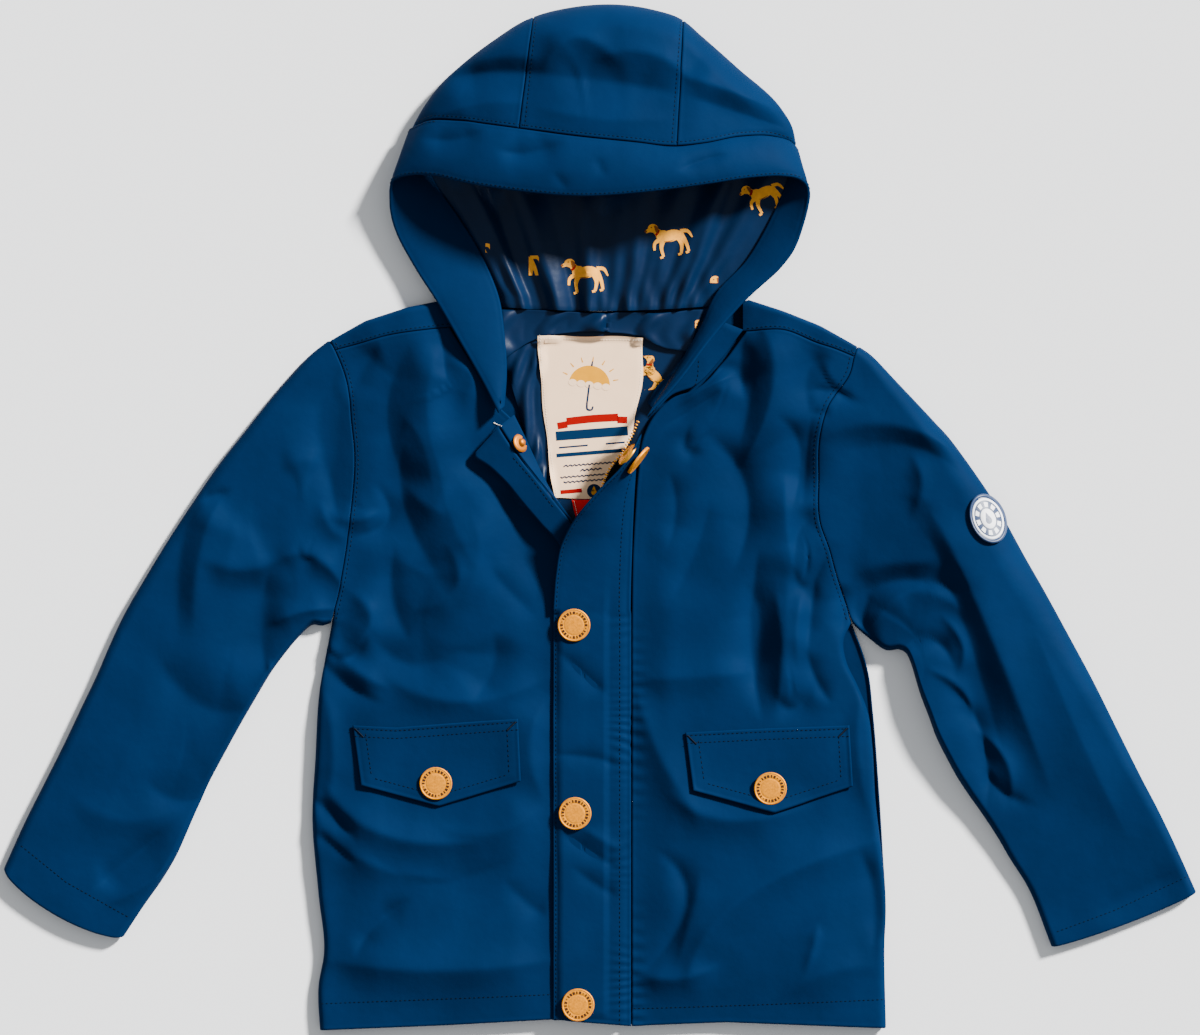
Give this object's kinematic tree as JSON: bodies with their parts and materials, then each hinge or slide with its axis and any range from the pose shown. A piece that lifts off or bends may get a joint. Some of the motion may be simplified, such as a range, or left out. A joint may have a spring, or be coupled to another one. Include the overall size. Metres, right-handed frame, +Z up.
{
  "type": "child's hooded raincoat laid flat",
  "caption": "Child's hooded raincoat laid flat on its back, with a snapped storm flap over its zip, flap pockets, an open neck that shows the lining, and a round sleeve badge.",
  "frame": {"origin": "centre of the bounding box's underside, on the surface that the coat lies on", "axes": "+X to the wearer's left, +Y from the hem to the hood, +Z up from the surface"},
  "size_m": [0.7868, 0.6765, 0.048],
  "materials": {
    "coated_cloth": "smooth waterproof coating, soft sheen",
    "lining_satin": "satin lining",
    "zip_tape": "woven tape",
    "label_cloth": "printed woven label",
    "tag_cloth": "woven tag",
    "snap_cap": "brushed copper plate",
    "zip_and_snap_brass": "brass",
    "badge_rubber": "soft moulded rubber"
  },
  "bodies": {
    "root": {"body_back": "coated_cloth", "right_front": "coated_cloth", "left_front": "coated_cloth", "sleeve_right": "coated_cloth", "sleeve_left": "coated_cloth", "hood_side_right": "coated_cloth", "hood_centre": "coated_cloth", "hood_side_left": "coated_cloth", "hood_band": "coated_cloth", "hood_base_right": "coated_cloth", "hood_base_left": "coated_cloth", "hood_lining": "lining_satin", "neck_facing": "lining_satin", "back_lining": "lining_satin", "label": "label_cloth", "small_tag": "tag_cloth", "placket_strip": "coated_cloth", "placket_turnback": "coated_cloth", "zip_tape_left": "zip_tape", "zip_tape_right": "zip_tape", "zip_slider": "zip_and_snap_brass", "storm_flap": "coated_cloth", "pocket_flap_right": "coated_cloth", "pocket_flap_left": "coated_cloth", "flap_snap_1": "snap_cap", "flap_snap_2": "snap_cap", "flap_snap_3": "snap_cap", "pocket_snap_right": "snap_cap", "pocket_snap_left": "snap_cap", "neck_snap_cap": "snap_cap", "neck_snap_socket": "zip_and_snap_brass", "neck_snap_stud": "zip_and_snap_brass", "sleeve_badge": "badge_rubber"}
  },
  "joints": []
}
